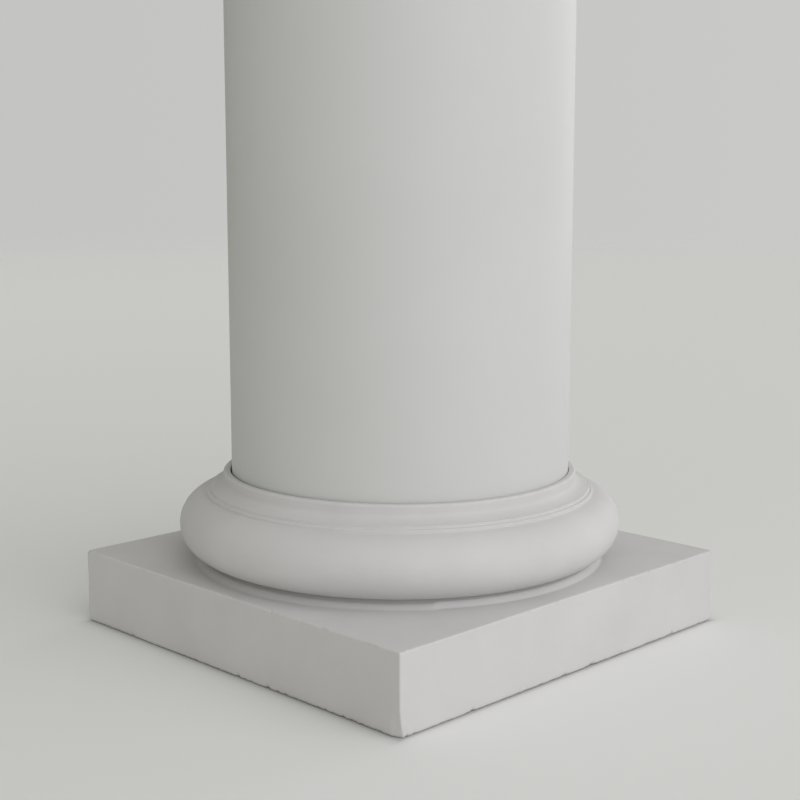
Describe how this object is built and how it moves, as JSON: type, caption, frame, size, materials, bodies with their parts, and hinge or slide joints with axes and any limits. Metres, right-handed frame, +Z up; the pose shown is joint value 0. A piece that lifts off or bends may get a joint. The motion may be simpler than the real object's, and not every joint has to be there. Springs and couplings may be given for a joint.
{
  "type": "round column",
  "caption": "Plain round column with a square plinth and torus base, a smooth tapering shaft and a plain square-topped capital.",
  "frame": {"origin": "centre of the plinth's underside, where the column's axis meets the floor", "axes": "+Z up the column's axis; X and Y along the sides of the plinth and the abacus"},
  "size_m": [0.46, 0.46, 2.4],
  "materials": {
    "base": "fine cast plaster, matte off-white, arrises slightly worn",
    "shaft": "smooth cast plaster, satin off-white",
    "capital": "fine cast plaster, matte off-white"
  },
  "bodies": {
    "root": {"base": "base", "shaft": "shaft", "capital": "capital"}
  },
  "joints": []
}
